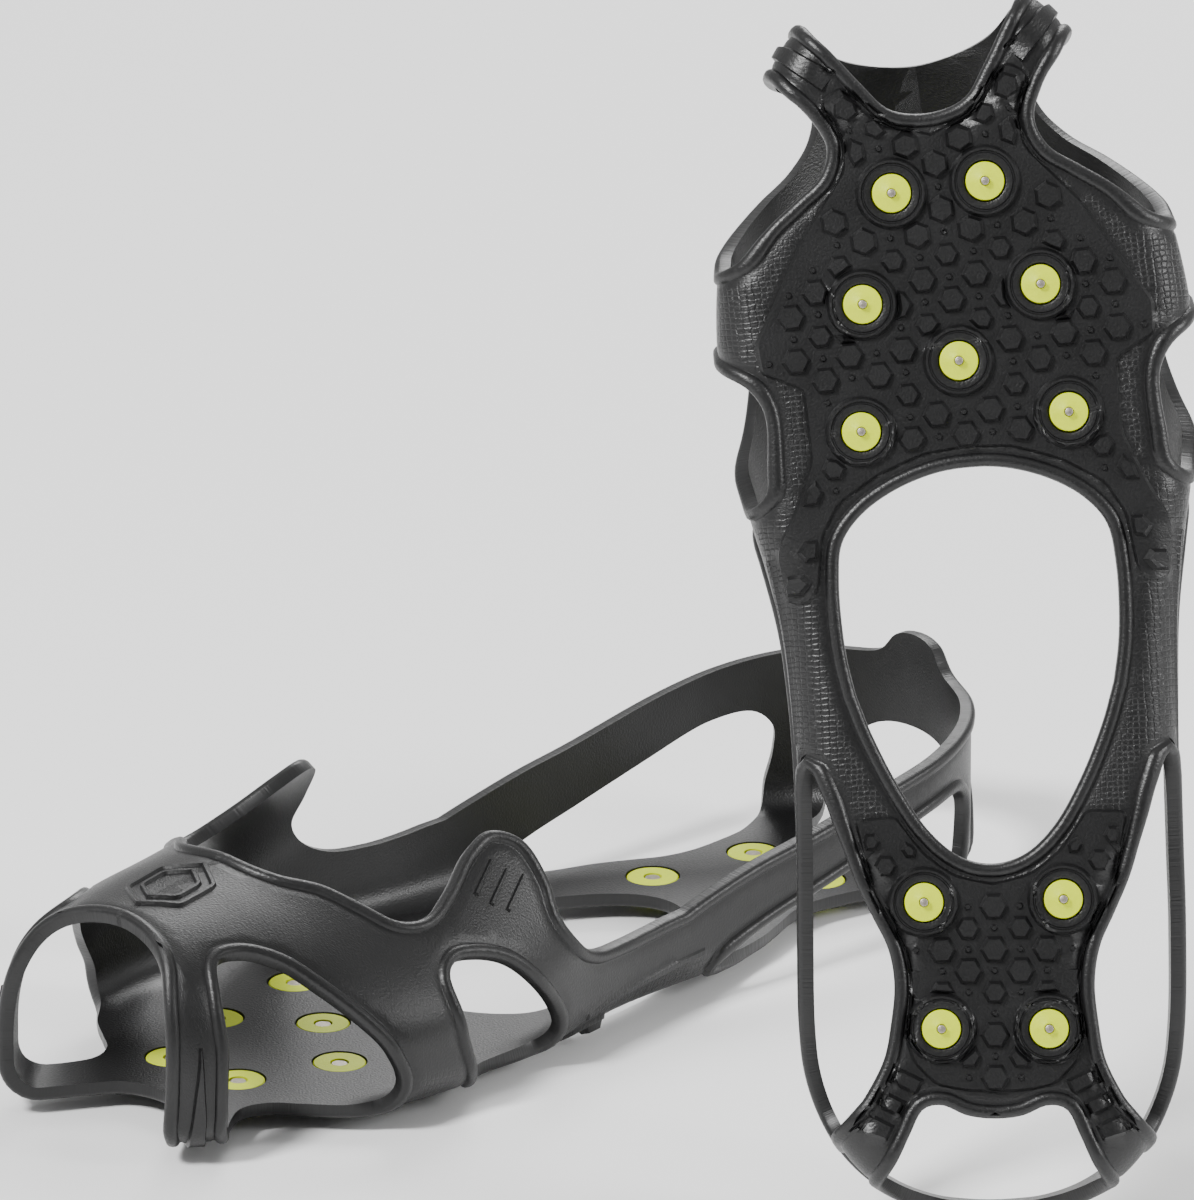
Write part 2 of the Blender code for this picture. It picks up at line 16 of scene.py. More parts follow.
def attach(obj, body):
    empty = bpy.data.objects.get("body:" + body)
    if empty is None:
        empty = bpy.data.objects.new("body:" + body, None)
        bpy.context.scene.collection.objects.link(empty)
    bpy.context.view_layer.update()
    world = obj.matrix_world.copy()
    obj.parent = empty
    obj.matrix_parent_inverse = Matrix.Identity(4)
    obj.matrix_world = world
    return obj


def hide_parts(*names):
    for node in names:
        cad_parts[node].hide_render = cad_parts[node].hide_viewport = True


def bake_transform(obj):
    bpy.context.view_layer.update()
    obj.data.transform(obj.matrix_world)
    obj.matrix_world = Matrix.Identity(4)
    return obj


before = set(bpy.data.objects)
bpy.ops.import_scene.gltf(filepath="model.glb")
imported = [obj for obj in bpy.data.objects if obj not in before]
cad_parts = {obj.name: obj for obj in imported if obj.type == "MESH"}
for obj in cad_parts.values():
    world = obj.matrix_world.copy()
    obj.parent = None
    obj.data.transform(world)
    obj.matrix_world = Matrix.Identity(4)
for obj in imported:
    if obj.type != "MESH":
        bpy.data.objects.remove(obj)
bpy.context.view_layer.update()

# Driving dimensions, the CAD model's own. s runs sideways from the middle line, t forward from the heel.
MILLIMETRE = 0.001
SOLE_TOP = 8.0
MAT = 3.0
STUD_RADIUS = 5.0
STUD_FACE = 6.3
FLANGE_RADIUS = 7.0
FLANGE = 1.2
CLEARANCE = 0.3
PIN_RADIUS = 1.1
PIN_HEAD_RADIUS = 2.2
# Sideways sweep of the middle line at the ball of the foot, where it begins, and how much further that is.
TOE_CURVE, CURVE_FROM, CURVE_LENGTH = 7.7, 40, 159
# Rows of studs, as (t, half of the gauge).
STUDS = ((257.7, 11.9), (230.7, 22.6), (213.9, 0.0), (198.5, 26.3), (77.7, 17.6), (45.4, 13.6))
# The boot's sections fan out round these places at the heel and the toe. CORNER rounds its sole's edge.
HEEL_FOCUS, TOE_FOCUS = 45.0, 291.0
CORNER = 8.0
# The arch bends about this place and height, over this reach to each side.
FLEX_AT, FLEX_HEIGHT, FLEX_REACH = 130.0, 8.0, 22
# Where the two cleats stand: a turn and a lean in degrees, places, and the axis (t, height) of laying down.
YAW = 40.0
LEAN = 20.0
RIGHT_AT = (87.377, 142.8)
LEFT_AT = (101.977, -172.9)
LAY_AXIS = (20.0, 32.71)

# The moulded surface: distance between points, and heights above the mat.
SPACING = 1.5
FILL = 2.3
INNER_FILL = 1.6 * FILL
PANEL_RISE = 1.05
PANEL_BEVEL = 0.7
LUG_RISE = 1.65
BOSS_RISE = 2.7
# The points that fill a face, as shares of their spacing: row pitch, least distance to a line and on a seam.
ROW_PITCH, CLOSEST, SEAM_CLOSEST = 0.87, 0.62, 0.6
# How far to each side of a seam its height is read.
SEAM_STEP = 0.01
# The scale texture lies between these t, and the pattern's UV map counts in this many millimetres.
SCALES_FROM, SCALES_TO = 42, 284
UV_UNIT = 100
# Edges sharper than this, in degrees, are shaded sharp.
SHARP = 38
# The rim round every opening, as (distance from the edge, height above the mat).
RIM = (
    (0.0, -0.4), (0.3, 0.35), (0.8, 0.85), (1.6, 1.05), (2.5, 0.95), (3.1, 0.5), (3.5, -0.15),
    (4.0, -0.2), (4.5, 0.0),
)
# The ring of rubber round a stud, as (radius, height above the mat).
BOSS = (
    (5.3, 2.45), (5.7, 2.6), (7.0, 2.6), (7.2, 2.25), (7.55, 2.25), (7.75, BOSS_RISE), (8.3, BOSS_RISE),
    (8.75, 2.0), (9.0, 1.3), (9.1, PANEL_RISE),
)

# Inside outline of the boot, from the back of the heel to the tip of the toe: (s, t).
BOOT = (
    (0, 0), (14, 1.6), (25, 6), (33.5, 13), (39.5, 22), (43.5, 33), (45, 45), (45.3, 70), (45, 90),
    (45, 110), (45.6, 130), (47, 148), (50, 165), (53.2, 180), (56, 196), (57.4, 212), (57, 226),
    (55.3, 240), (52.5, 252), (48.7, 264), (43.8, 276), (38.5, 286), (35.5, 291), (31.5, 296.5),
    (26, 301.5), (14, 306.8), (0, 308.5),
)
# Height of the boot above its sole, height where its side starts to lean in, and how boxy it is: (t, value).
CROWN = ((0, 95), (150, 92), (170, 88), (190, 76), (212, 66), (230, 60), (249, 55), (265, 52.5), (291, 49))
WALL = ((0, 60), (100, 60), (150, 30), (190, 18), (240, 16), (265, 14), (291, 13))
FULLNESS = ((0, 0.4), (190, 0.3), (235, 0.34), (265, 0.5), (291, 0.62))

# Edges of the harness, as (s, t, height above the boot's sole).
TOE_EDGE = (
    (0, 276.5, 0), (9.5, 278.8, 0), (15.5, 286, 0), (21, 294, 0), (26, 300.5, 3), (27, 301, 12),
    (26, 300, 24), (24, 298, 36), (19, 294, 45), (11, 291.5, 49), (0, 290, 51),
)
COLLAR_EDGE = (
    (0, 249.5, 57), (9, 249, 54), (15.5, 246, 51.5), (22, 239, 48), (30, 233, 43), (37, 227, 39),
    (40, 219, 39.5), (38.5, 208, 45), (35.5, 196, 53), (34, 187, 55), (36, 179.5, 50), (41, 177, 39),
    (45.5, 177.5, 31), (47.3, 172, 24.5), (47.3, 164, 20.8), (46.5, 152, 19.6), (46, 140, 20),
    (45.7, 133.3, 20.6),
)
STRAP_TOP = (
    (45.6, 126.7, 20.9), (45.5, 119, 23), (45, 100, 27.5), (45, 80, 31), (45, 55, 36.5), (41.5, 27, 42),
    (30, 9, 45.5), (13, 1.5, 48), (7, 0.3, 54), (0, 0, 55.5),
)
REAR_EDGE = (
    (0, 0, 29), (13, 1.5, 27), (22, 4.5, 20), (26.5, 7, 11), (27, 8, 3.5), (25, 11, 0), (21.5, 18.5, 0),
    (18, 25, 0), (13.5, 26, 0), (7, 23.4, 0), (0, 22.6, 0),
)
ARCH_REAR = ((0, 87, 0), (8, 89, 0), (15.5, 95.5, 0), (23, 107.5, 0), (29.3, 121.5, 0), (31.7, 128.6, 0))
ARCH_FRONT = (
    (32.6, 131.4, 0), (34.2, 140, 0), (35, 149, 0), (35, 161, 0), (33.5, 170.5, 0), (28.5, 177, 0),
    (20, 182.5, 0), (9, 186.2, 0), (0, 187, 0),
)
SIDE_OPENING = (
    (26.5, 271.5, 0), (29.5, 279, 0), (34.5, 285.5, 0), (37, 288.5, 3), (38, 289, 12), (37, 288, 24),
    (34, 286, 37), (29, 281.5, 45), (31.5, 274.5, 46.5), (38, 267, 43.5), (45.5, 260.5, 35.5),
    (51.5, 253, 25), (54.5, 246.5, 15.5), (55.5, 243, 7.5), (52, 244.8, 0.4), (44, 253, 0),
    (36, 259, 0), (29, 264.5, 0),
)
BALL_OPENING = (
    (50, 206, 0), (50, 192, 0), (51, 184.5, 0.4), (53, 182, 5), (53.8, 184.5, 11), (55, 192, 19.5),
    (56, 201, 29), (56, 210, 34), (55.5, 217, 35), (56.5, 221.5, 31), (57, 220.5, 15), (56, 216.5, 5),
    (53, 212.5, 0.4),
)
HEEL_OPENING = (
    (43.5, 113, 3), (41.5, 105.5, 0), (39, 97.5, 0), (35, 84, 0), (30.5, 74, 0), (26.8, 66, 0),
    (25.3, 57, 0), (26.3, 46, 0), (28, 37.5, 0), (32.5, 28.5, 0), (37, 22.5, 0.6), (38.5, 20, 7),
    (37.5, 18, 16), (37.5, 18, 23), (40, 22.5, 27.5), (44, 35, 26.5), (45, 55, 20.5), (45, 80, 13.5),
    (45, 97, 9),
)


def smooth_value(knots, at):
    """Cubic interpolation through (place, value) knots, level beyond both ends."""
    place, value = np.array(knots, float).T
    slope = np.gradient(value, place)
    at = np.clip(at, place[0], place[-1])
    i = np.clip(np.searchsorted(place, at) - 1, 0, len(place) - 2)
    width = place[i + 1] - place[i]
    f = (at - place[i]) / width
    rise = value[i + 1] - value[i]
    ease = f * f * (3 - 2 * f)
    return value[i] + rise * ease + width * f * (1 - f) * ((1 - f) * slope[i] - f * slope[i + 1])


def catmull(points, closed, samples=12):
    """Smooth curve through points. An open one meets the mirror plane squarely at both ends."""
    points = np.array(points, float)
    mirror = np.array([-1] + [1] * (points.shape[1] - 1))
    if closed:
        ring = np.vstack([points[-1:], points, points[:2]])
    else:
        first = points[1] * mirror if abs(points[0][0]) < 1e-6 else 2 * points[0] - points[1]
        last = points[-2] * mirror if abs(points[-1][0]) < 1e-6 else 2 * points[-1] - points[-2]
        ring = np.vstack([first, points, last])
    curve = []
    for a, b, c, d in zip(ring, ring[1:], ring[2:], ring[3:]):
        gaps = [max(np.linalg.norm(q - p), 1e-6) for p, q in ((a, b), (b, c), (c, d))]
        knots = np.cumsum([0] + [gap**0.5 for gap in gaps])
        for f in np.arange(samples) / samples:
            k = knots[1] + f * (knots[2] - knots[1])
            spans = zip((a, b, c), (b, c, d), knots, knots[1:])
            mix = [p + (q - p) * (k - u) / (v - u) for p, q, u, v in spans]
            part = [(k - knots[i]) / (knots[i + 2] - knots[i]) for i in (0, 1)]
            pair = [mix[i] + (mix[i + 1] - mix[i]) * part[i] for i in (0, 1)]
            curve.append(pair[0] + (pair[1] - pair[0]) * f)
    if not closed:
        curve.append(points[-1])
    return np.array(curve)


def resample(curve, spacing, closed):
    """The same curve with evenly spaced points."""
    if closed:
        curve = np.vstack([curve, curve[:1]])
    run = np.concatenate([[0], np.cumsum(np.linalg.norm(np.diff(curve, axis=0), axis=1))])
    count = max(2, round(run[-1] / spacing))
    at = np.linspace(0, run[-1], count + 1)
    even = np.stack([np.interp(at, run, axis) for axis in curve.T], axis=1)
    return even[:-1] if closed else even


OUTLINE = catmull(BOOT, closed=False, samples=30)


def edge_distance(foot, angle):
    """Distance from the middle line to the boot's edge, straight out or fanned round the heel or the toe."""
    reach = np.interp(foot, OUTLINE[:, 1], OUTLINE[:, 0])
    for focus, turn in ((HEEL_FOCUS, angle < 0), (TOE_FOCUS, angle > 0)):
        offset = OUTLINE - (0, focus)
        around = np.arctan2(offset[:, 1], offset[:, 0])
        order = np.argsort(around)
        fanned = np.interp(angle, around[order], np.hypot(*offset.T)[order])
        reach = np.where(turn, fanned, reach)
    return reach


def girths(foot, angle):
    """Distances from the middle line, heights and girths from the sole, in a row for each section."""
    edge = edge_distance(foot, angle)[:, None]
    crown = smooth_value(CROWN, foot)[:, None]
    wall = np.maximum(smooth_value(WALL, foot), CORNER + 1)[:, None]
    full = smooth_value(FULLNESS, foot)[:, None]
    turn = np.linspace(0, pi / 2, 25)[None, :]
    f = np.linspace(0, 1, 97)[None, :]
    corner_out = edge - CORNER + CORNER * np.sin(turn)
    corner_up = 0 * edge + CORNER - CORNER * np.cos(turn)
    dome_out = edge * ((1 - f) ** 3 + 3 * f * (1 - f) ** 2 + 3 * f * f * (1 - f) * full)
    rise = 3 * f * (1 - f) ** 2 * full + 3 * f * f * (1 - f) + f**3
    dome_up = wall + (crown - wall) * rise
    out = np.hstack([0 * edge, corner_out, dome_out])
    up = np.hstack([0 * edge, corner_up, dome_up])
    girth = np.cumsum(np.hypot(np.diff(out), np.diff(up)), axis=1)
    return out, up, np.hstack([0 * edge, girth])


def fan(plan):
    """Foot on the middle line, direction and distance of plan points. Sideways is 0, the toe is positive."""
    foot = np.clip(plan[:, 1], HEEL_FOCUS, TOE_FOCUS)
    ahead = plan[:, 1] - foot
    return foot, np.arctan2(ahead, np.abs(plan[:, 0]) + 1e-12), np.hypot(plan[:, 0], ahead)


def straight_last(pattern):
    """Pattern points wrapped onto the last, before its middle line is curved."""
    foot, angle, reach = fan(pattern)
    out, up, girth = girths(foot, angle)
    total = girth[:, -1]
    past = reach > total
    reach = np.where(past, 2 * total - reach, reach)
    i = np.clip((girth <= reach[:, None]).sum(axis=1) - 1, 0, girth.shape[1] - 2)
    row = np.arange(len(reach))
    f = (reach - girth[row, i]) / np.maximum(girth[row, i + 1] - girth[row, i], 1e-9)
    away = out[row, i] + f * (out[row, i + 1] - out[row, i])
    height = up[row, i] + f * (up[row, i + 1] - up[row, i])
    side = np.where(pattern[:, 0] < 0, -1, 1) * np.where(past, -1, 1)
    return np.stack([side * away * np.cos(angle), foot + away * np.sin(angle), height], axis=1)


def unwrap(points):
    """Nearest pattern points of points on or near the straight last."""
    foot, angle, away = fan(points)
    out, up, girth = girths(foot, angle)
    step = np.stack([np.diff(out), np.diff(up)], axis=2)
    start = np.stack([out, up], axis=2)[:, :-1]
    offset = np.stack([away, points[:, 2]], axis=1)[:, None] - start
    f = np.clip((offset * step).sum(2) / np.maximum((step**2).sum(2), 1e-12), 0, 1)
    gap = np.linalg.norm(offset - f[..., None] * step, axis=2)
    i = np.argmin(gap, axis=1)
    row = np.arange(len(points))
    reach = girth[row, i] + f[row, i] * (girth[row, i + 1] - girth[row, i])
    return np.stack([reach * np.cos(angle), foot + reach * np.sin(angle)], axis=1)


def bent(points, side):
    """Curves the middle line inwards at the toe: to the wearer's left on a right cleat, side +1."""
    ahead = np.maximum(points[:, 1] - CURVE_FROM, 0) / CURVE_LENGTH
    shift = -TOE_CURVE * ahead**2
    slope = -2 * TOE_CURVE * ahead / CURVE_LENGTH
    length = np.hypot(1, slope)
    x = shift + points[:, 0] / length
    y = points[:, 1] - points[:, 0] * slope / length
    return np.stack([side * x, y, points[:, 2] + SOLE_TOP], axis=1)


def normals(pattern):
    """Unit normals of the straight last, pointing out of the boot."""
    step = 0.8
    along = [straight_last(pattern + d) - straight_last(pattern - d) for d in ((step, 0), (0, step))]
    out = -np.cross(*along)
    return out / np.linalg.norm(out, axis=1)[:, None]


def shifted(pattern, closed, distance):
    """A copy of a line, moved to its left by a true distance on the last."""
    if closed:
        ring = np.vstack([pattern[-1:], pattern, pattern[:1]])
    else:
        ring = np.vstack([2 * pattern[:1] - pattern[1:2], pattern, 2 * pattern[-1:] - pattern[-2:-1]])
    tangent = straight_last(ring[2:]) - straight_last(ring[:-2])
    steps = 4
    for _ in range(steps):
        left = np.cross(tangent, normals(pattern))
        left *= (distance / steps / np.linalg.norm(left, axis=1))[:, None]
        pattern = unwrap(straight_last(pattern) + left)
    return pattern


def edge(*pieces, closed=False):
    """Pattern points of an edge that runs smoothly through each piece in turn."""
    curves = []
    for piece in pieces:
        on_last = straight_last(unwrap(np.array(piece, float)))
        curves.append(resample(catmull(on_last, closed), SPACING, closed))
    pattern = unwrap(np.vstack([curves[0]] + [curve[1:] for curve in curves[1:]]))
    pattern[np.abs(pattern[:, 0]) < 1e-6, 0] = 0
    return pattern


def circle(centre, radius, half=False, sides=40):
    """Points round a centre (s, t), clockwise: all of them, or the half on the positive side."""
    turns = np.arange(sides // 2 + 1 if half else sides) * 2 * pi / sides
    ring = np.stack([centre[0] + radius * np.sin(turns), centre[1] + radius * np.cos(turns)], axis=1)
    if half:
        ring[[0, -1], 0] = 0
    return ring


def top_seam(t):
    """Pattern place of the middle line over the top of the foot."""
    t = np.atleast_1d(np.asarray(t, float))
    return np.stack([girths(t, 0 * t)[2][:, -1], t], axis=1)


def on_seam(pattern, like):
    """Moves the ends of a line onto the mirror plane where the line that it follows ends there."""
    for end in (0, -1):
        if abs(like[end, 0]) < 1e-6:
            pattern[end, 0] = 0
        elif abs(straight_last(like[[end]])[0, 0]) < 1e-3:
            pattern[end] = top_seam(pattern[end, 1])[0]
    return pattern


def inside(points, loops):
    """Which points lie inside closed loops, by counting crossings."""
    crossings = np.zeros(len(points), int)
    x, y = points.T
    for loop in loops:
        for (ax, ay), (bx, by) in zip(loop, np.roll(loop, -1, axis=0)):
            if ay == by:
                continue
            crosses = (ay > y) != (by > y)
            crossings += crosses & (x < ax + (y - ay) * (bx - ax) / (by - ay))
    return crossings % 2 == 1


def tree_of(points):
    tree = KDTree(len(points))
    for i, point in enumerate(points):
        tree.insert((*point, 0), i)
    tree.balance()
    return tree


def clear_of(points, known, distance):
    """Which points keep their distance from all the known ones."""
    tree = tree_of(known)
    return np.array([tree.find((*point, 0))[2] > distance for point in points])


def grid_points(border, known, fill):
    """Points that fill the pattern evenly, clear of its lines."""
    low, high = border[0].min(axis=0), border[0].max(axis=0)
    rows = np.arange(low[1], high[1], fill * ROW_PITCH)
    columns = [np.arange(low[0] + (k % 2) * fill / 2, high[0], fill) for k in range(len(rows))]
    grid = np.array([(x, y) for y, column in zip(rows, columns) for x in column])
    grid = grid[inside(grid, border)]
    return grid[clear_of(grid, known, CLOSEST * fill)]


def triangulated(lines, border, fill, level_at):
    """Triangles that follow the pattern's lines. Gives points, heights, faces and each line's points."""
    spare = grid_points(border, np.vstack([line[0] for line in lines]), fill)
    keep, level = level_at(spare)
    vertices, edges, starts, heights = [], [], [], []
    for points, height, closed in lines:
        start = len(vertices)
        starts.append(start)
        vertices += [Vector(point) for point in points]
        heights += list(np.broadcast_to(height, len(points)))
        edges += [(start + i, start + i + 1) for i in range(len(points) - 1)]
        if closed:
            edges.append((start + len(points) - 1, start))
    vertices += [Vector(point) for point in spare[keep]]
    heights += list(level[keep])
    found, _, faces, origin, _, _ = delaunay_2d_cdt(vertices, edges, [], 0, 1e-5)
    found = np.array([tuple(point) for point in found])
    faces = np.array([tuple(face) for face in faces])
    faces = faces[inside(found[faces].mean(axis=1), border)]
    tree = tree_of(np.array([tuple(point) for point in vertices]))
    level = np.array([
        heights[min(made)] if made else np.mean([heights[near[1]] for near in tree.find_n((*point, 0), 2)])
        for made, point in zip(origin, found)
    ])
    place = {first: i for i, made in enumerate(origin) for first in made}
    where = [[place[start + i] for i in range(len(line[0]))] for start, line in zip(starts, lines)]
    return found, level, faces, where


def seam_between(one, other, lines, spacing):
    """The stretch of mirror plane between two edges' ends, with every line that ends on it."""
    top = abs(one[0]) > 1e-6
    low, high = sorted((one[1], other[1]))
    ends = [line[0][end] for line in lines for end in (0, -1) if not line[2]]
    stops = sorted({round(p[1], 6) for p in ends if (abs(p[0]) > 1e-6) == top and low < p[1] < high})
    fixed = np.array([low, *stops, high])
    more = [t for t in np.arange(low, high, spacing) if np.abs(fixed - t).min() > SEAM_CLOSEST * spacing]
    run = sorted([low, *stops, *more, high])
    between = top_seam(run) if top else np.array([(0.0, t) for t in run])
    return between if one[1] < other[1] else between[::-1]


# Relief on the rubber: closed shapes with a bevelled edge.
# Each is (lines, base loop, top loop, height on top).
def inset(loop, half, distance):
    """A polygon shrunk by a distance. A half one has its ends on the middle line and stays on it."""
    if half:
        mirror = (-1, 1)
        ring = np.vstack([loop[1] * mirror, loop, loop[-2] * mirror])
    else:
        ring = np.vstack([loop[-1:], loop, loop[:1]])
    following = np.roll(loop, -1, axis=0)
    turn = np.sign((loop[:, 0] * following[:, 1] - following[:, 0] * loop[:, 1]).sum())
    sides = np.diff(ring, axis=0)
    sides /= np.linalg.norm(sides, axis=1)[:, None]
    inward = turn * np.stack([-sides[:, 1], sides[:, 0]], axis=1)
    away = inward[:-1] + inward[1:]
    moved = loop + distance * away * (2 / np.maximum((away**2).sum(axis=1), 0.4))[:, None]
    if half:
        moved[[0, -1], 0] = 0
    return moved


def raised(loop, half, base, rise, bevel):
    """A flat-topped shape in the pattern that stands up from a base height."""
    top = inset(loop, half, bevel)
    return [(loop, MAT + base, not half), (top, MAT + base + rise, not half)], loop, top, MAT + base + rise


def stroke(points, widths, rise, bevel=0.5):
    """A rib along points (s, t, height above the boot's sole), with a width at its start and at its end."""
    line = straight_last(unwrap(np.array(points, float)))
    line = resample(catmull(line, False), SPACING, False)
    run = np.concatenate([[0], np.cumsum(np.linalg.norm(np.diff(line, axis=0), axis=1))])
    half_width = np.interp(run, [0, run[-1]], widths) / 2
    centre = unwrap(line)
    inner = np.interp(np.linspace(bevel, run[-1] - bevel, len(run)), run, np.arange(len(run)))
    short = np.stack([np.interp(inner, np.arange(len(run)), axis) for axis in centre.T], axis=1)
    loops = []
    for path, reach in ((centre, half_width), (short, np.maximum(half_width - bevel, 0.12))):
        sides = [shifted(path, False, reach * side) for side in (1, -1)]
        loops.append(np.vstack([sides[0], sides[1][::-1]]))
    height = MAT + rise
    return [(loops[0], MAT, True), (loops[1], height, True)], loops[0], loops[1], height


def ring_rib(points, width, rise, bevel=0.45):
    """A rib that starts and ends on the middle line over the toes, with two lines on each of its sides."""
    line = resample(resample(np.array(points, float), 0.4, False), SPACING, False)
    centre = on_seam(unwrap(straight_last(unwrap(line))), top_seam([points[0][1], points[-1][1]]))
    lines = []
    foot, crest = width / 2, width / 2 - bevel
    for reach, height in ((foot, MAT), (crest, MAT + rise), (-crest, MAT + rise), (-foot, MAT)):
        side = shifted(centre, False, np.full(len(centre), reach))
        lines.append((on_seam(side, centre), height, False))
    loop = np.vstack([lines[0][0], lines[3][0][::-1]])
    top = np.vstack([lines[1][0], lines[2][0][::-1]])
    return lines, loop, top, MAT + rise


def hexagon(s, t, flats, pointed, clear):
    """A lug's outline, pulled back from the rings of the studs. None if too little is left."""
    turns = np.arange(6) * pi / 3 + (0 if pointed else pi / 6)
    loop = np.stack([s + flats / 3**0.5 * np.sin(turns), t + flats / 3**0.5 * np.cos(turns)], axis=1)
    for stud_t, stud_s in STUDS:
        offset = loop - (stud_s, stud_t)
        reach = np.linalg.norm(offset, axis=1)
        near = reach < clear
        loop[near] = (stud_s, stud_t) + offset[near] * (clear / reach[near])[:, None]
    following = np.roll(loop, -1, axis=0)
    area = abs((loop[:, 0] * following[:, 1] - following[:, 0] * loop[:, 1]).sum()) / 2
    return loop if area > LEAST_LUG * flats**2 else None


# Half outlines of the raised tread panels: (s, t).
FOREFOOT_PANEL = (
    (0, 271.3), (10, 275.3), (18.6, 285), (21.6, 286.4), (26.2, 283.4), (26.8, 280.6), (22.6, 273),
    (23.2, 265), (35.2, 250.5), (50.4, 224), (50, 215.5), (40, 210.6), (39.6, 192), (44.6, 180.5),
    (48.6, 170), (47, 156.5), (42, 155.2), (39.9, 160), (38.2, 172.5), (33.5, 180.5), (23, 187),
    (11, 191.2), (0, 192),
)
HEEL_PANEL = (
    (0, 82.2), (9.5, 84.4), (17, 90), (24, 100), (34.6, 99.3), (30.9, 80), (23.4, 66.5), (21.2, 58),
    (22.6, 42), (20.6, 36.5), (15, 31), (8, 29.6), (0, 29.2),
)
# Grids on which lugs take turns with dots.
LUG_GRIDS = (
    # t of row 0, column pitch, row pitch, columns, first row and end of the rows, panel
    (240.8, 6.8, 5.68, 8, (-10, 8), FOREFOOT_PANEL),
    (54.6, 6.6, 5.4, 5, (-5, 6), HEEL_PANEL),
)
# Lugs on the legs of the panels, as (s, t, width across flats).
LEG_LUGS = (
    (36.6, 175.6, 5.4), (41.2, 169, 5.6), (44.6, 160.8, 5.2), (27, 87.2, 5.3), (20.6, 91.2, 4.2),
    (30.6, 93.4, 4.4),
)
# Lugs and dots: widths across flats, least distances from a stud's centre, and bevels.
LUG, SMALL_LUG, DOT = 6.6, 5.7, 1.7
LUG_CLEAR, DOT_CLEAR = 9.4, 10.5
LUG_BEVEL, DOT_BEVEL = 0.8, 0.35
DOT_RISE = 0.7
# Lugs further forward than this have a corner in front, the others a flat.
POINTED_FROM = 244
# A lug is dropped if its area falls below this share of its width squared.
LEAST_LUG = 0.45
# Least distance from the panel's edge, on the grids and on the legs, and how corners past it are pulled in.
GRID_MARGIN, LEG_MARGIN = 1.3, 0.9
PULLS, PULL = 12, 0.14
# Ribs, as (s, t, height above the boot's sole). Those of the ears are lower ends, the bars are middles.
TOE_ARM_RIB = ((23.6, 287.8, 0), (28, 291.4, 0), (31.6, 294.6, 3), (32.3, 295, 12), (31.7, 294, 25))
ARCH_RIB = ((47.6, 168, 5.5), (46.4, 150, 6), (45.7, 130, 7.2), (45.3, 119, 8))
EAR_RIBS = ((41.2, 201, 41.5), (42, 198, 37.5), (42.6, 194, 34.5))
HEEL_BARS = ((22.8, 32.4), (26.6, 26.6), (30.2, 20.8))
# A plain hexagon on the vamp: half of its corners round its middle, which is at this t over the toes.
EMBLEM = ((0, 12.5), (10.8, 6.25), (10.8, -6.25), (0, -12.5))
EMBLEM_AT, ABOVE_TOES = 269.5, 62


def smooth_outline(points):
    """Half outline of a panel, its ends on the middle line and its corners just rounded."""
    line = resample(np.array(points, float), 1.2, False)
    for _ in range(2):
        line[1:-1] = 0.25 * line[:-2] + 0.5 * line[1:-1] + 0.25 * line[2:]
    line[[0, -1], 0] = 0
    return line


def whole_of(half):
    """A half outline together with its mirror image."""
    return np.vstack([half, half[::-1] * (-1, 1)])


def lugs():
    """Hexagonal lugs and the small dots between them, on both tread panels."""
    shapes, spots = [], []
    for middle, column, row, columns, rows, panel in LUG_GRIDS:
        within = inset(smooth_outline(panel), True, GRID_MARGIN)
        for k in range(columns):
            for m in range(*rows):
                spot = (k * column, middle + m * row)
                lug = SMALL_LUG if m % 3 == 0 else LUG
                spots.append((*spot, DOT if (k + m) % 2 else lug, within))
    for s, t, flats in LEG_LUGS:
        panel = FOREFOOT_PANEL if t > FLEX_AT else HEEL_PANEL
        spots.append((s, t, flats, whole_of(inset(smooth_outline(panel), True, LEG_MARGIN))))
    for s, t, flats, within in spots:
        dot = flats == DOT
        if dot and min(np.hypot(s - stud_s, t - stud_t) for stud_t, stud_s in STUDS) < DOT_CLEAR:
            continue
        loop = hexagon(s, t, flats, t > POINTED_FROM, LUG_CLEAR)
        if loop is None:
            continue
        fits = inside(np.abs(loop), [within])
        if dot and not fits.all() or fits.sum() < 4:
            continue
        half = abs(s) < 1e-6
        if half:
            loop = loop[loop[:, 0] > -1e-6]
            loop = loop[np.argsort(-loop[:, 1])]
            if loop[0, 0] > 1e-6:
                loop = np.vstack([loop[:1], loop, loop[-1:]])
            loop[[0, -1], 0] = 0
        if not fits.all():
            middle = loop.mean(axis=0)
            for _ in range(PULLS):
                out = ~inside(loop, [within])
                if not half or not out[[0, -1]].any():
                    loop[out] += PULL * (middle - loop[out])
        rise, bevel = (DOT_RISE, DOT_BEVEL) if dot else (LUG_RISE, LUG_BEVEL)
        shapes.append(raised(loop, half, PANEL_RISE, rise, bevel))
    return shapes


def moulded_ribs():
    """Ribs of the arms, the arch bands, the ears and the vamp."""
    shapes = [stroke(TOE_ARM_RIB, (6.2, 0.8), 1.2), stroke(ARCH_RIB, (2.0, 2.0), 0.5)]
    for s, t, height in EAR_RIBS:
        shapes.append(stroke(((s, t, height), (s - 2.6, t - 10, height + 7.5)), (1.5, 0.9), 0.8, 0.35))
    for s, t in HEEL_BARS:
        shapes.append(stroke(((s - 4.0, t - 2.0, 0), (s + 3.8, t + 1.8, 0)), (4.6, 4.6), 1.3, 0.9))
    for scale in (1.0, 0.66):
        corners = [(s * scale, EMBLEM_AT + t * scale, ABOVE_TOES) for s, t in EMBLEM]
        shapes.append(ring_rib(corners, 1.7, 0.8))
    return shapes


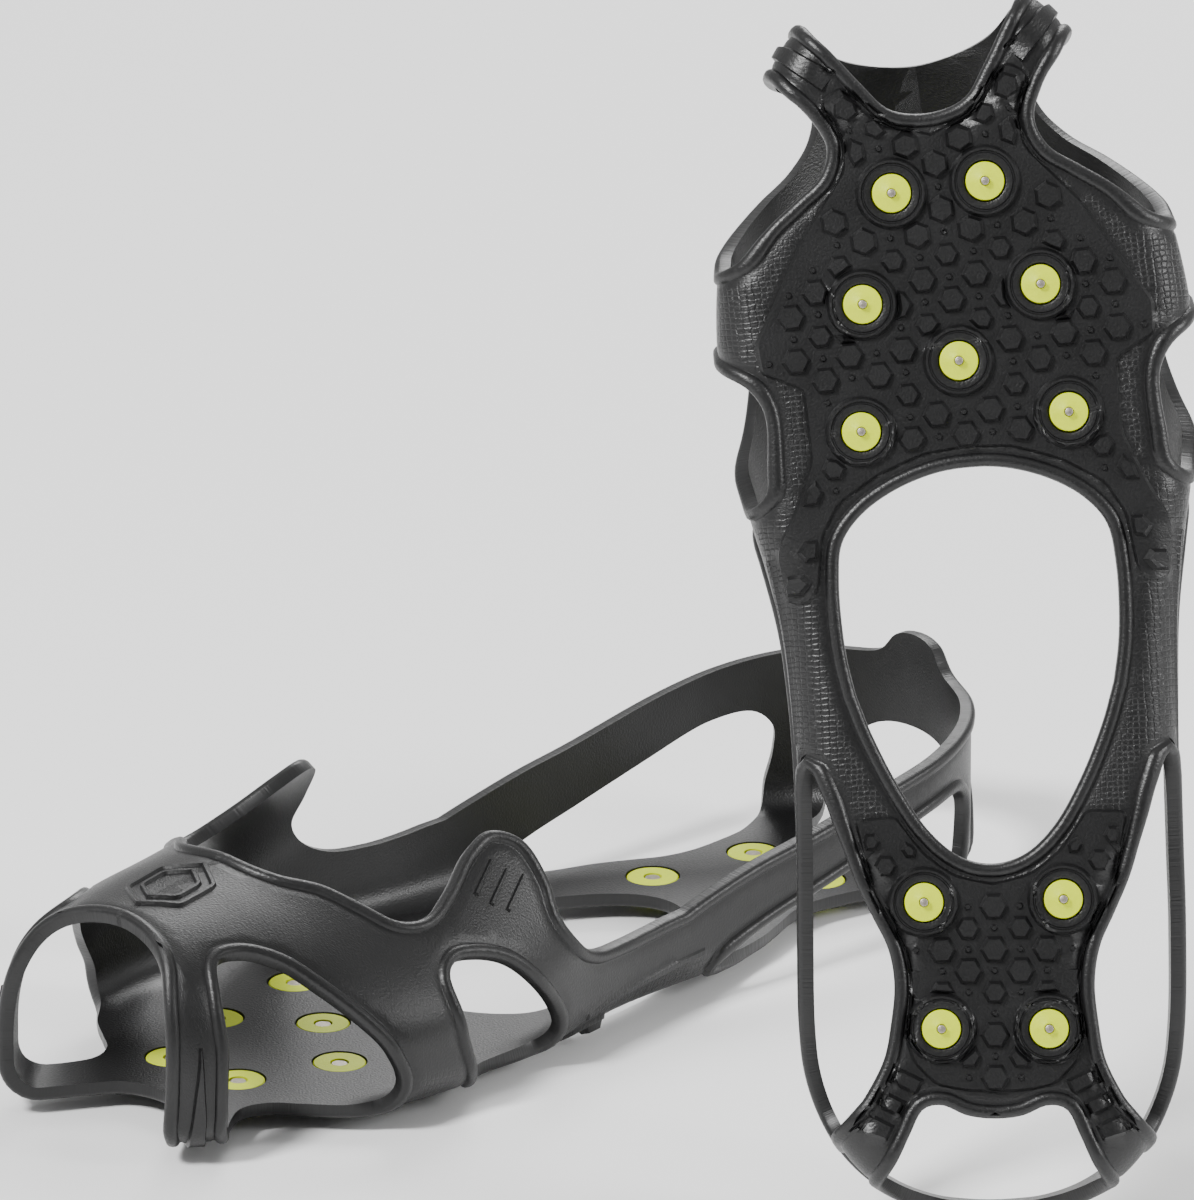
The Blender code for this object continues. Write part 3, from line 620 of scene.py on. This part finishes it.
def half_pattern():
    """One side of a harness: points, heights, faces, which points have scales and which are outside."""
    edges = [
        edge(TOE_EDGE[::-1]),
        edge(ARCH_FRONT[::-1], (ARCH_FRONT[0], ARCH_REAR[-1]), ARCH_REAR[::-1]),
        edge(REAR_EDGE[::-1]),
        edge(STRAP_TOP[::-1], (STRAP_TOP[0], COLLAR_EDGE[-1]), COLLAR_EDGE[::-1]),
    ]
    holes = [opening(table) for table in (SIDE_OPENING, BALL_OPENING, HEEL_OPENING)]
    outer, inner = [], []
    for run, closed in [(run, False) for run in edges] + [(hole, True) for hole in holes]:
        outer.append((run, MAT + RIM[0][1], closed))
        inner.append((run, 0, closed))
    walls = [(i, i) for i in range(len(outer))]
    for run, _, closed in outer[: len(walls)]:
        for distance, height in RIM[1:]:
            ring = shifted(run, closed, np.full(len(run), distance))
            outer.append((ring if closed else on_seam(ring, run), MAT + height, closed))
    runs, loops = list(edges), list(holes)
    for t, s in STUDS:
        half = s == 0
        walls.append((len(outer), len(inner)))
        outer += [(circle((s, t), radius, half), MAT + height, not half) for radius, height in BOSS]
        seat = FLANGE_RADIUS + CLEARANCE
        inner += [
            (circle((s, t), STUD_RADIUS + CLEARANCE, half), FLANGE + CLEARANCE, not half),
            (circle((s, t), seat, half), FLANGE + CLEARANCE, not half),
            (circle((s, t), seat + 0.1, half), 0, not half),
        ]
        hole = circle((s, t), STUD_RADIUS + CLEARANCE, half)
        if half:
            runs.insert(1, hole)
        else:
            loops.append(hole)
    outlines = [smooth_outline(panel) for panel in (FOREFOOT_PANEL, HEEL_PANEL)]
    panels = [raised(outline, True, 0, PANEL_RISE, PANEL_BEVEL) for outline in outlines]
    shapes = lugs() + moulded_ribs()
    for shape in panels + shapes:
        outer += shape[0]

    def relief(points):
        """Which free points to keep, and how high they are."""
        level = np.where(inside(points, [panel[2] for panel in panels]), MAT + PANEL_RISE, MAT)
        covered = np.zeros(len(points), bool)
        for _, base, top, height in shapes:
            covered |= inside(points, [base])
            level[inside(points, [top])] = height
        return ~covered, level

    def plain(points):
        """The inner face has no relief."""
        return np.ones(len(points), bool), 0 * points[:, 0]

    skins = []
    for lines, fill, level_at in ((outer, FILL, relief), (inner, INNER_FILL, plain)):
        seams = [seam_between(a[-1], b[0], lines, fill) for a, b in zip(runs, runs[1:] + runs[:1])]
        border = [np.vstack([piece for pair in zip(runs, seams) for piece in pair]), *loops]
        for seam in seams:
            beside = [level_at(seam + (way, 0))[1] for way in (-SEAM_STEP, SEAM_STEP)]
            lines = [*lines, (seam, np.maximum(*beside), False)]
        skins.append(triangulated(lines, border, fill, level_at))
    (outer_points, outer_level, outer_faces, outer_at), (points, level, faces, at) = skins
    count = len(outer_points)
    quads = []
    for i, k in walls:
        top, bottom = outer_at[i], [count + j for j in at[k]]
        if outer[i][2]:
            top, bottom = [*top, top[0]], [*bottom, bottom[0]]
        for a, b, c, d in zip(top, top[1:], bottom[1:], bottom):
            quads.append((a, b, c, d))
    pattern = np.vstack([outer_points, points])
    heights = np.concatenate([outer_level, level])
    outside = np.arange(len(pattern)) < count
    treaded = inside(pattern, [panel[1] for panel in panels])
    scales = outside & ~treaded & (pattern[:, 1] < SCALES_TO) & (pattern[:, 1] > SCALES_FROM)
    rims = outer_at[: len(RIM) * (len(edges) + len(holes))]
    scales[[k for line in rims for k in line]] = False
    faces = [*map(tuple, outer_faces[:, ::-1]), *map(tuple, faces + count), *quads]
    return pattern, heights, faces, scales, outside


def opening(points):
    """A closed edge with the rubber on its left, so it runs clockwise."""
    pattern = edge(points, closed=True)
    following = np.roll(pattern, -1, axis=0)
    turn = (pattern[:, 0] * following[:, 1] - following[:, 0] * pattern[:, 1]).sum()
    return pattern[::-1] if turn > 0 else pattern


def harness_mesh(name, half, side, place):
    """Both sides of a harness as one closed mesh in metres, at its place, with its pattern as a UV map."""
    pattern, heights, faces, scales, outside = half
    base = straight_last(pattern)
    points = base + normals(pattern) * heights[:, None]
    middle = np.abs(base[:, 0]) < 1e-3
    points[middle, 0] = 0
    count = len(points)
    twin = np.arange(count) + np.where(middle, 0, count)
    faces = faces + [tuple(twin[list(face)][::-1]) for face in faces]
    # How far above the sole each point is. The inner face counts as out of the scales' reach.
    lift = np.tile(np.where(outside, base[:, 2], 40.0), 2)
    points = bent(np.vstack([points, points * (-1, 1, 1)]), side)
    flat = np.vstack([pattern, pattern * (-1, 1)])
    zone = np.concatenate([scales, scales])
    used = np.unique(np.concatenate([np.array(face) for face in faces]))
    order = np.full(2 * count, -1)
    order[used] = np.arange(len(used))
    matrix = np.array(place)
    corners = points[used] * MILLIMETRE @ matrix[:3, :3].T + matrix[:3, 3]
    mesh = bpy.data.meshes.new(name)
    mesh.from_pydata(corners, [], [tuple(order[list(face)])[::side] for face in faces])
    loops = np.empty(len(mesh.loops), int)
    mesh.loops.foreach_get("vertex_index", loops)
    mesh.uv_layers.new(name="pattern").data.foreach_set("uv", (flat[used][loops] / UV_UNIT).ravel())
    for attribute, values in (("scales", zone[used]), ("lift", lift[used])):
        mesh.attributes.new(attribute, "FLOAT", "POINT").data.foreach_set("value", values.astype(float))
    mesh.shade_smooth()
    mesh.set_sharp_from_angle(angle=radians(SHARP))
    mesh.validate()
    return mesh


def turned(name, profile, sides):
    """One closed mesh in metres, turned from (radius, distance below the boot's sole) points."""
    rings, vertices, faces = [], [], []
    for radius, depth in profile:
        start = len(vertices)
        count = sides if radius else 1
        turns = [2 * pi * k / sides for k in range(count)]
        ring = [(radius * sin(a), radius * cos(a), -depth) for a in turns]
        vertices += [tuple(length * MILLIMETRE for length in point) for point in ring]
        rings.append([start + k % count for k in range(sides + 1)])
    pairs = list(zip(rings, rings[1:]))
    if profile[0][0]:
        pairs.append((rings[-1], rings[0]))
    for upper, lower in pairs:
        for a, b, c, d in zip(upper, upper[1:], lower[1:], lower):
            corners = list(dict.fromkeys((a, b, c, d)))
            if len(corners) > 2:
                faces.append(corners)
    mesh = bpy.data.meshes.new(name)
    mesh.from_pydata(vertices, [], faces)
    mesh.shade_smooth()
    mesh.set_sharp_from_angle(angle=radians(SHARP))
    return mesh


class Shader:
    """Short names for building a node tree."""

    def __init__(self, name, **sockets):
        self.material = bpy.data.materials.new(name)
        self.material.use_nodes = True
        self.nodes = self.material.node_tree.nodes
        self.surface = self.nodes["Principled BSDF"]
        for socket, value in sockets.items():
            self.surface.inputs[socket.replace("_", " ")].default_value = value

    def link(self, source, target):
        self.material.node_tree.links.new(source, target)

    def add(self, kind, inputs=(), **settings):
        node = self.nodes.new(kind)
        for setting, value in settings.items():
            setattr(node, setting, value)
        for socket, value in dict(inputs).items():
            if isinstance(value, bpy.types.NodeSocket):
                self.link(value, node.inputs[socket])
            else:
                node.inputs[socket].default_value = value
        return node

    def math(self, operation, *values):
        return self.add("ShaderNodeMath", dict(enumerate(values)), operation=operation).outputs[0]

    def ramp(self, value, low, high, to_low=0.0, to_high=1.0):
        inputs = {"Value": value, "From Min": low, "From Max": high, "To Min": to_low, "To Max": to_high}
        return self.add("ShaderNodeMapRange", inputs, clamp=True).outputs["Result"]

    def noise(self, vector, scale, detail=2.0):
        inputs = {"Vector": vector, "Scale": scale, "Detail": detail}
        return self.add("ShaderNodeTexNoise", inputs).outputs["Fac"]

    def mix(self, factor, one, other):
        node = self.add("ShaderNodeMix", data_type="RGBA")
        for socket, value in ((0, factor), (6, one), (7, other)):
            if isinstance(value, bpy.types.NodeSocket):
                self.link(value, node.inputs[socket])
            else:
                node.inputs[socket].default_value = value
        return node.outputs[2]

    def bump(self, layers):
        """Stacks (height, depth in metres) layers into the surface's normal."""
        normal = None
        for height, depth in layers:
            inputs = {"Height": height, "Distance": depth, "Strength": 1.0}
            if normal:
                inputs["Normal"] = normal
            normal = self.add("ShaderNodeBump", inputs).outputs["Normal"]
        self.link(normal, self.surface.inputs["Normal"])


def rubber():
    """Moulded black rubber: satin, with a fine pebble grain and, outside the tread panels, scales."""
    shader = Shader("moulded_rubber", Specular_IOR_Level=0.5)
    flat = shader.add("ShaderNodeUVMap", uv_map="pattern").outputs["UV"]
    unscaled = {0: flat, 1: (UV_UNIT, UV_UNIT, 1.0)}
    flat = shader.add("ShaderNodeVectorMath", unscaled, operation="MULTIPLY").outputs[0]
    scales = shader.add("ShaderNodeAttribute", attribute_name="scales").outputs["Fac"]
    lift = shader.add("ShaderNodeAttribute", attribute_name="lift").outputs["Fac"]
    pebble = shader.noise(flat, 1.6, 2.0)
    patchy = shader.noise(flat, 0.05, 3.0)
    cells = {"Vector": flat, "Scale": 0.7, "Randomness": 0.3}
    cell = shader.add("ShaderNodeTexVoronoi", cells, feature="DISTANCE_TO_EDGE")
    groove = shader.ramp(cell.outputs["Distance"], 0.0, 0.18)
    on_sole = shader.ramp(lift, 9.0, 5.0)
    scale_height = shader.math("MULTIPLY", groove, shader.math("MULTIPLY", scales, on_sole))
    patches = shader.ramp(patchy, 0.35, 0.65)
    tone = shader.mix(patches, (0.003, 0.003, 0.0032, 1), (0.0065, 0.0065, 0.0068, 1))
    shader.link(tone, shader.surface.inputs["Base Color"])
    rough = shader.ramp(pebble, 0.3, 0.7, 0.34, 0.46)
    shader.link(rough, shader.surface.inputs["Roughness"])
    shader.bump(((scale_height, 0.0001), (pebble, 0.00011)))
    return shader.material


def yellow_plastic():
    """Yellow-green plastic with faint mottling."""
    shader = Shader("stud_plastic", Roughness=0.42, Specular_IOR_Level=0.3)
    place = shader.add("ShaderNodeTexCoord").outputs["Object"]
    tone = shader.mix(shader.noise(place, 900.0), (0.56, 0.68, 0.002, 1), (0.66, 0.77, 0.006, 1))
    shader.link(tone, shader.surface.inputs["Base Color"])
    shader.bump(((shader.noise(place, 2500.0), 0.00004),))
    return shader.material


def pin_steel():
    """Sintered steel, brownish grey and slightly worn."""
    shader = Shader("pin_steel", Metallic=0.85, Roughness=0.42)
    place = shader.add("ShaderNodeTexCoord").outputs["Object"]
    tone = shader.mix(shader.noise(place, 1500.0, 3.0), (0.25, 0.22, 0.18, 1), (0.5, 0.46, 0.4, 1))
    shader.link(tone, shader.surface.inputs["Base Color"])
    shader.bump(((shader.noise(place, 3500.0), 0.00006),))
    return shader.material


def add(name, mesh, material, matrix=None):
    made = bpy.data.objects.new(name, mesh)
    bpy.context.scene.collection.objects.link(made)
    if not mesh.materials:
        mesh.materials.append(material)
    if matrix is not None:
        made.matrix_world = matrix
    return made


def on_cleat(s, t, height, side):
    """Place of a point of the straight last in its cleat's frame, in metres, turned with the middle line."""
    point, ahead = bent(np.array([(s, t, height), (s, t + 0.1, height)], float), side)
    turn = atan2(point[0] - ahead[0], ahead[1] - point[1])
    return Matrix.Translation(point * MILLIMETRE) @ Matrix.Rotation(turn, 4, "Z")


def cleat(word, side, place):
    """The looks of one cleat: a harness in one piece, and its studs on the forefoot or the heel."""
    mesh = harness_mesh(f"{word}_harness", HALF, side, place)
    harness = add(f"{word}_harness", mesh, RUBBER)
    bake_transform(harness)
    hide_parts(f"{word}_forefoot_harness", f"{word}_heel_harness")
    number = 0
    for t, half_gauge in STUDS:
        for s in dict.fromkeys((-half_gauge, half_gauge)):
            number += 1
            spot = place @ on_cleat(s, t, 0, side)
            body = f"{word}_forefoot" if t > FLEX_AT else f"{word}_heel"
            for kind, mesh, material, slot in (
                ("body", STUD, PLASTIC, "yellow_plastic"),
                ("pin", PIN, STEEL, "pin_steel"),
            ):
                piece = add(f"{word}_stud_{kind}_look_{number:02d}", mesh, material, spot)
                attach(piece, body)
                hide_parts(f"{word}_stud_{kind}_{number:02d}")


HALF = half_pattern()
RUBBER, PLASTIC, STEEL = rubber(), yellow_plastic(), pin_steel()
NECK = PIN_HEAD_RADIUS + CLEARANCE
BORE = PIN_RADIUS + 0.08
STUD = turned("stud", (
    (NECK, 0.2), (FLANGE_RADIUS - 0.3, 0.2), (FLANGE_RADIUS, 0.45), (FLANGE_RADIUS, FLANGE),
    (STUD_RADIUS - 0.1, FLANGE), (STUD_RADIUS - 0.1, STUD_FACE - 0.45),
    (STUD_RADIUS - 0.25, STUD_FACE - 0.15), (STUD_RADIUS - 0.6, STUD_FACE),
    (PIN_RADIUS + 1.0, STUD_FACE), (PIN_RADIUS + 0.6, STUD_FACE + 0.3),
    (BORE + 0.1, STUD_FACE + 0.32), (BORE, STUD_FACE + 0.2), (BORE, 2.0), (NECK, 2.0),
), sides=48)
PIN = turned("pin", (
    (0, 0.5), (PIN_HEAD_RADIUS - 0.2, 0.5), (PIN_HEAD_RADIUS, 0.7), (PIN_HEAD_RADIUS, 1.7),
    (PIN_RADIUS, 1.7), (PIN_RADIUS, SOLE_TOP - 0.4), (PIN_RADIUS - 0.12, SOLE_TOP - 0.12),
    (PIN_RADIUS - 0.4, SOLE_TOP), (0, SOLE_TOP),
), sides=24)

right = Matrix.Translation((RIGHT_AT[0] * MILLIMETRE, RIGHT_AT[1] * MILLIMETRE, 0))
right @= Matrix.Rotation(radians(90 + YAW), 4, "Z")
cleat("right", 1, right)

tip, lift = LAY_AXIS
up, over = cos(radians(LEAN)), sin(radians(LEAN))
turn = Matrix(((-1, 0, 0), (0, over, up), (0, up, -over)))
left_at = Vector((LEFT_AT[0], LEFT_AT[1], lift * (1 + over) - tip * up))
left = Matrix.Translation(left_at * MILLIMETRE) @ turn.to_4x4()
cleat("left", -1, left)


# Camera, floor and light. The camera looks at the pair from 20 degrees above the horizon.
VIEW_FROM, VIEW_HEIGHT, VIEW_RISE = 4.0, 0.316, 0.118
VIEW_ANGLE = radians(20)
CENTRE = Vector((0.0015, 0.0, 0.0))
LIGHTS_AIM = Vector((0, 0, 0.12))
away = Vector((0, -cos(VIEW_ANGLE), sin(VIEW_ANGLE)))
picture_up = Vector((0, sin(VIEW_ANGLE), cos(VIEW_ANGLE)))
camera = bpy.data.cameras.new("camera")
camera.sensor_fit = "VERTICAL"
camera.sensor_height = 36
camera.lens = camera.sensor_height * VIEW_FROM / VIEW_HEIGHT
camera.clip_start = 0.05
viewer = bpy.data.objects.new("camera", camera)
viewer.location = CENTRE + picture_up * VIEW_RISE + away * VIEW_FROM
viewer.rotation_euler = (-away).to_track_quat("-Z", "Y").to_euler()
bpy.context.scene.collection.objects.link(viewer)
bpy.context.scene.camera = viewer

ground = bpy.data.meshes.new("floor")
ground.from_pydata([(-9, -9, 0), (9, -9, 0), (9, 9, 0), (-9, 9, 0)], [], [(0, 1, 2, 3)])
floor = bpy.data.objects.new("floor", ground)
floor.location.z = -0.0002
bpy.context.scene.collection.objects.link(floor)
paper = Shader("floor_paper", Roughness=0.9, Base_Color=(0.93, 0.93, 0.93, 1))
ground.materials.append(paper.material)

# The studio is bright overhead, at the sides and behind the pair, and dark behind the camera.
world = bpy.data.worlds.new("studio")
world.use_nodes = True
sky = world.node_tree.nodes
sky["Background"].inputs["Color"].default_value = (1, 1, 1, 1)
toward = sky.new("ShaderNodeTexCoord")
split = sky.new("ShaderNodeSeparateXYZ")
strength = sky.new("ShaderNodeMapRange")
for socket, value in (("From Min", -0.9), ("From Max", 0.1), ("To Min", 0.22), ("To Max", 0.72)):
    strength.inputs[socket].default_value = value
world.node_tree.links.new(toward.outputs["Generated"], split.inputs[0])
world.node_tree.links.new(split.outputs["Y"], strength.inputs["Value"])
world.node_tree.links.new(strength.outputs["Result"], sky["Background"].inputs["Strength"])
bpy.context.scene.world = world


def softbox(name, place, size, power):
    """A square area light that looks at the middle of the pair."""
    light = bpy.data.lights.new(name, "AREA")
    light.size = size
    light.energy = power
    lamp = bpy.data.objects.new(name, light)
    lamp.location = place
    lamp.rotation_euler = (LIGHTS_AIM - lamp.location).to_track_quat("-Z", "Y").to_euler()
    bpy.context.scene.collection.objects.link(lamp)


softbox("key", (-1.2, -1.2, 1.9), 0.5, 80)
softbox("fill", (1.8, -0.6, 1.0), 0.7, 26)
softbox("back", (0.3, 1.5, 1.3), 0.9, 22)
